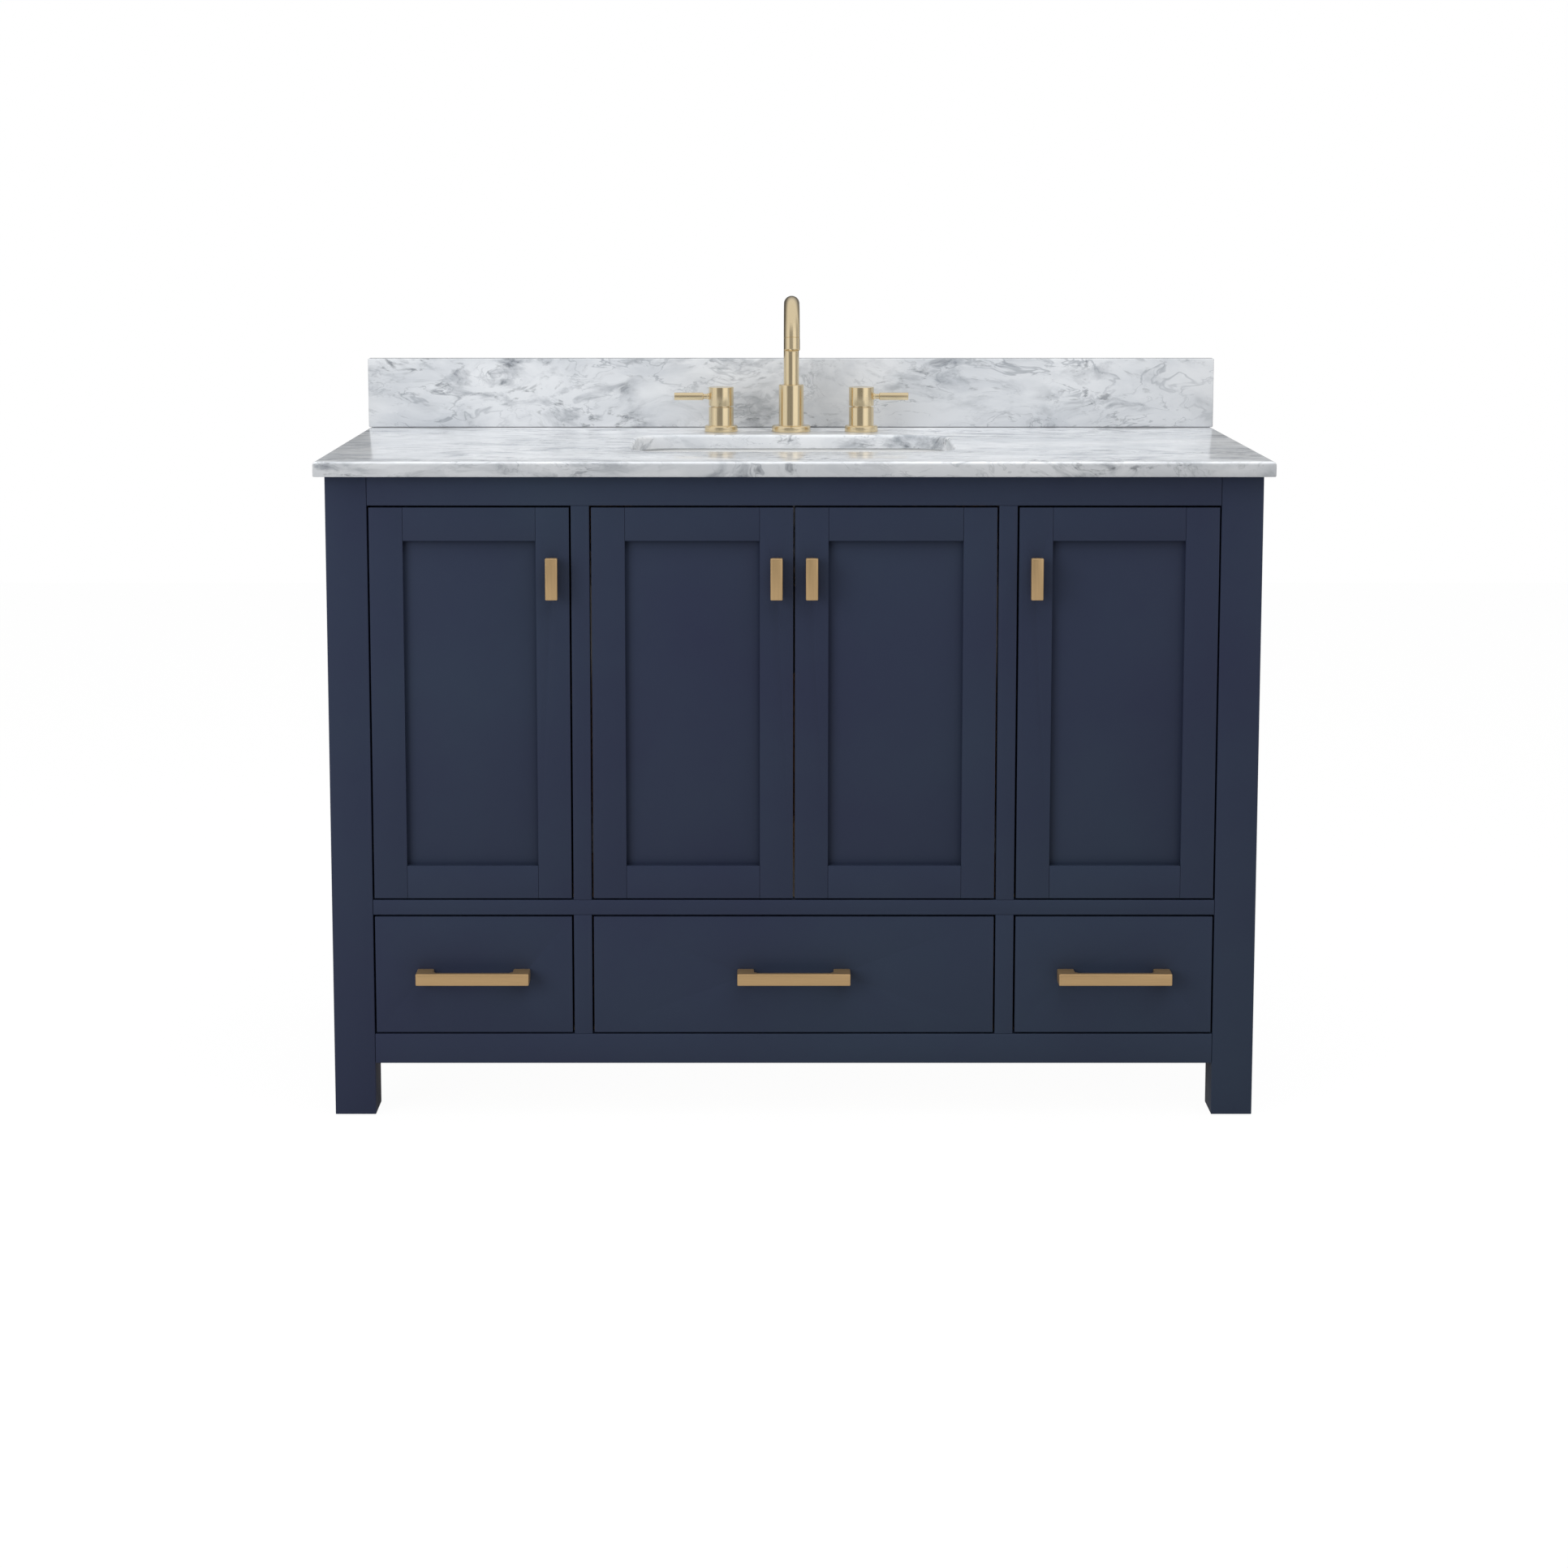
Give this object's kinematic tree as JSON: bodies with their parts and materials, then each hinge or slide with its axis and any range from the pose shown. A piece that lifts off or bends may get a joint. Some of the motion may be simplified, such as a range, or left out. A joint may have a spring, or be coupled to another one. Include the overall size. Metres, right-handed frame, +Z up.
{
  "type": "bathroom vanity cabinet",
  "caption": "Free-standing bathroom vanity with inset doors over drawers, stone top and backsplash, undermount basin and widespread gooseneck faucet.",
  "frame": {"origin": "on the floor, at the middle of the footprint", "axes": "+X to the user's right along the front, +Y from the front towards the wall, +Z up"},
  "size_m": [1.2446, 0.569, 1.074],
  "materials": {
    "navy_paint": "satin",
    "birch_ply": "satin",
    "drawer_birch": "satin",
    "plated_steel": "satin",
    "black_plastic": "matte",
    "marble": "polished",
    "white_ceramic": "gloss",
    "brushed_gold": "brushed",
    "pull_gold": "brushed",
    "brass_nuts": "machined"
  },
  "bodies": {
    "cabinet": {"front_posts": "navy_paint", "rear_posts": "navy_paint", "top_rail": "navy_paint", "middle_rail": "navy_paint", "bottom_rail": "navy_paint", "mullions": "navy_paint", "side_rails": "navy_paint", "side_panels": "navy_paint", "bottom_panel": "birch_ply", "drawer_deck": "birch_ply", "partitions": "birch_ply", "back_panel": "birch_ply", "back_rails": "birch_ply", "shelves": "birch_ply", "shelf_pins": "plated_steel", "corner_braces": "birch_ply", "leveling_feet": "black_plastic", "hinge_plates": "plated_steel", "runner_rails": "plated_steel", "countertop": "marble", "backsplash": "marble", "basin": "white_ceramic", "basin_clips": "plated_steel", "drain_body": "brushed_gold", "drain_nut": "brass_nuts", "spout_base": "brushed_gold", "valve_bases": "brushed_gold", "faucet_nuts": "brass_nuts"},
    "left_door": {"left_door_frame": "navy_paint", "left_door_panel": "navy_paint", "left_door_pull": "pull_gold", "left_door_hinge_cups": "plated_steel"},
    "centre_left_door": {"centre_left_door_frame": "navy_paint", "centre_left_door_panel": "navy_paint", "centre_left_door_pull": "pull_gold", "centre_left_door_hinge_cups": "plated_steel"},
    "centre_right_door": {"centre_right_door_frame": "navy_paint", "centre_right_door_panel": "navy_paint", "centre_right_door_pull": "pull_gold", "centre_right_door_hinge_cups": "plated_steel"},
    "right_door": {"right_door_frame": "navy_paint", "right_door_panel": "navy_paint", "right_door_pull": "pull_gold", "right_door_hinge_cups": "plated_steel"},
    "left_drawer": {"left_drawer_front": "navy_paint", "left_drawer_box": "drawer_birch", "left_drawer_pull": "pull_gold", "left_drawer_runners": "plated_steel"},
    "centre_drawer": {"centre_drawer_front": "navy_paint", "centre_drawer_box": "drawer_birch", "centre_drawer_pull": "pull_gold", "centre_drawer_runners": "plated_steel"},
    "right_drawer": {"right_drawer_front": "navy_paint", "right_drawer_box": "drawer_birch", "right_drawer_pull": "pull_gold", "right_drawer_runners": "plated_steel"},
    "spout_tube": {"spout": "brushed_gold"},
    "left_valve_handle": {"left_handle": "brushed_gold"},
    "right_valve_handle": {"right_handle": "brushed_gold"},
    "stopper": {"drain_stopper": "brushed_gold"}
  },
  "joints": [
    {"name": "left_door_hinge", "type": "hinge", "parent": "cabinet", "child": "left_door", "pos_m": [-0.55435, -0.2565, 0.55525], "axis": [0, 0, 1], "range_deg": [-105, 0]},
    {"name": "centre_left_door_hinge", "type": "hinge", "parent": "cabinet", "child": "centre_left_door", "pos_m": [-0.26525, -0.2565, 0.55525], "axis": [0, 0, 1], "range_deg": [-105, 0]},
    {"name": "centre_right_door_hinge", "type": "hinge", "parent": "cabinet", "child": "centre_right_door", "pos_m": [0.26525, -0.2565, 0.55525], "axis": [0, 0, 1], "range_deg": [0, 105]},
    {"name": "right_door_hinge", "type": "hinge", "parent": "cabinet", "child": "right_door", "pos_m": [0.55435, -0.2565, 0.55525], "axis": [0, 0, 1], "range_deg": [0, 105]},
    {"name": "left_drawer_slide", "type": "slide", "parent": "cabinet", "child": "left_drawer", "axis": [0, -1, 0], "range_m": [0, 0.36]},
    {"name": "centre_drawer_slide", "type": "slide", "parent": "cabinet", "child": "centre_drawer", "axis": [0, -1, 0], "range_m": [0, 0.36]},
    {"name": "right_drawer_slide", "type": "slide", "parent": "cabinet", "child": "right_drawer", "axis": [0, -1, 0], "range_m": [0, 0.36]},
    {"name": "spout_swivel", "type": "hinge", "parent": "cabinet", "child": "spout_tube", "pos_m": [0, 0.1985, 0.936], "axis": [0, 0, 1], "range_deg": [-60, 60]},
    {"name": "left_valve_turn", "type": "hinge", "parent": "cabinet", "child": "left_valve_handle", "pos_m": [-0.1016, 0.1985, 0.926], "axis": [0, 0, 1], "range_deg": [0, 90]},
    {"name": "right_valve_turn", "type": "hinge", "parent": "cabinet", "child": "right_valve_handle", "pos_m": [0.1016, 0.1985, 0.926], "axis": [0, 0, 1], "range_deg": [-90, 0]},
    {"name": "stopper_lift", "type": "slide", "parent": "cabinet", "child": "stopper", "axis": [0, 0, 1], "range_m": [0, 0.01]}
  ]
}
